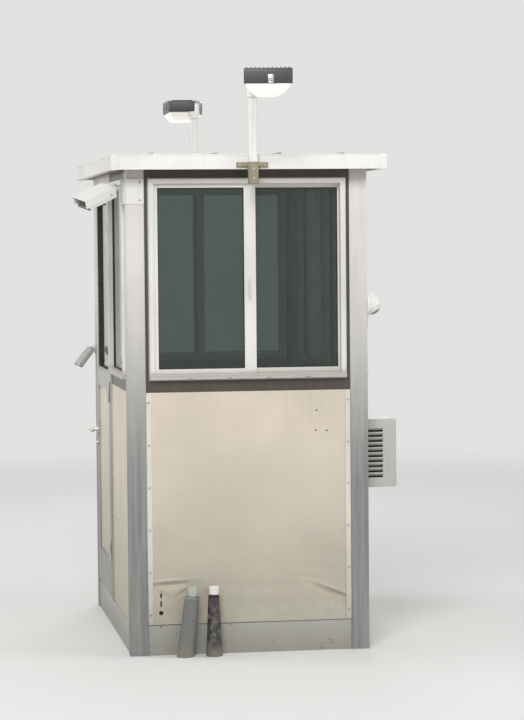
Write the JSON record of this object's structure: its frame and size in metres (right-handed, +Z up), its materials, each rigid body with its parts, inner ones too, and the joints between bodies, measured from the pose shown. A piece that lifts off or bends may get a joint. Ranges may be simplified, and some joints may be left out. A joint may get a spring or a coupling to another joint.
{
  "type": "security guard booth",
  "caption": "Small steel guard booth with a flat overhanging roof, sliding windows, a half glazed hinged side door, pole lamps and wall cameras.",
  "frame": {"origin": "on the ground under the middle of the booth's plan, on the underside of the middle base cross member", "axes": "+X to the right seen from the front, +Y from the front with the sliding window to the back, +Z up"},
  "size_m": [1.6623, 3.001, 2.908],
  "materials": {
    "base_paint": "matte grey paint, scuffed",
    "post_paint": "satin off-white paint, weathered",
    "panel_paint": "satin cream paint, weathered",
    "surround_dark": "satin dark brown",
    "window_white": "satin white",
    "tinted_glass": "dark green tint",
    "floor_steel": "worn tread plate",
    "threshold_metal": "brushed",
    "door_paint": "satin off-white paint",
    "handle_steel": "brushed",
    "roof_white": "satin white, streaked",
    "soffit_paint": "matte brown",
    "roof_deck": "weathered sheet",
    "lamp_pole_paint": "satin white",
    "lamp_bracket_paint": "matte brown paint",
    "lamp_head_paint": "satin dark grey",
    "lamp_lens": "frosted",
    "camera_white": "satin white",
    "air_conditioner_case": "satin off-white",
    "air_conditioner_fins": "dull",
    "riser_rubber": "matte, dusty"
  },
  "bodies": {
    "booth": {"air_conditioner_casing": "air_conditioner_case", "air_conditioner_grille": "air_conditioner_fins", "base_channels": "base_paint", "base_cross_members": "base_paint", "box_camera": "camera_white", "box_camera_bracket": "camera_white", "conduit_risers": "riser_rubber", "corner_posts": "post_paint", "dome_camera": "camera_white", "door_frame": "door_paint", "door_hinges_fixed": "handle_steel", "door_post": "post_paint", "door_threshold": "threshold_metal", "floor_plate": "floor_steel", "front_wall_panel": "panel_paint", "front_window_frame": "window_white", "front_window_glass": "tinted_glass", "front_window_sashes": "window_white", "front_window_surround": "surround_dark", "lamp_brackets": "lamp_bracket_paint", "lamp_housings": "lamp_head_paint", "lamp_lenses": "lamp_lens", "lamp_poles": "lamp_pole_paint", "left_wall_panel": "panel_paint", "left_window_frame": "window_white", "left_window_glass": "tinted_glass", "left_window_surround": "surround_dark", "rear_wall_panel": "panel_paint", "rear_window_frame": "window_white", "rear_window_glass": "tinted_glass", "rear_window_sashes": "window_white", "rear_window_surround": "surround_dark", "right_wall_panel": "panel_paint", "right_window_frame": "window_white", "right_window_glass": "tinted_glass", "right_window_surround": "surround_dark", "roof_fascia": "roof_white", "roof_panel": "roof_deck", "roof_soffit": "soffit_paint", "side_camera": "camera_white"},
    "door": {"door_leaf": "door_paint", "door_panel": "panel_paint", "door_glass": "tinted_glass", "door_levers": "handle_steel", "door_hinges_moving": "handle_steel"}
  },
  "joints": [
    {"name": "door_swing", "type": "hinge", "parent": "booth", "child": "door", "pos_m": [-0.618, 0.0325, 0], "axis": [0, 0, 1], "range_deg": [0, 100]}
  ]
}
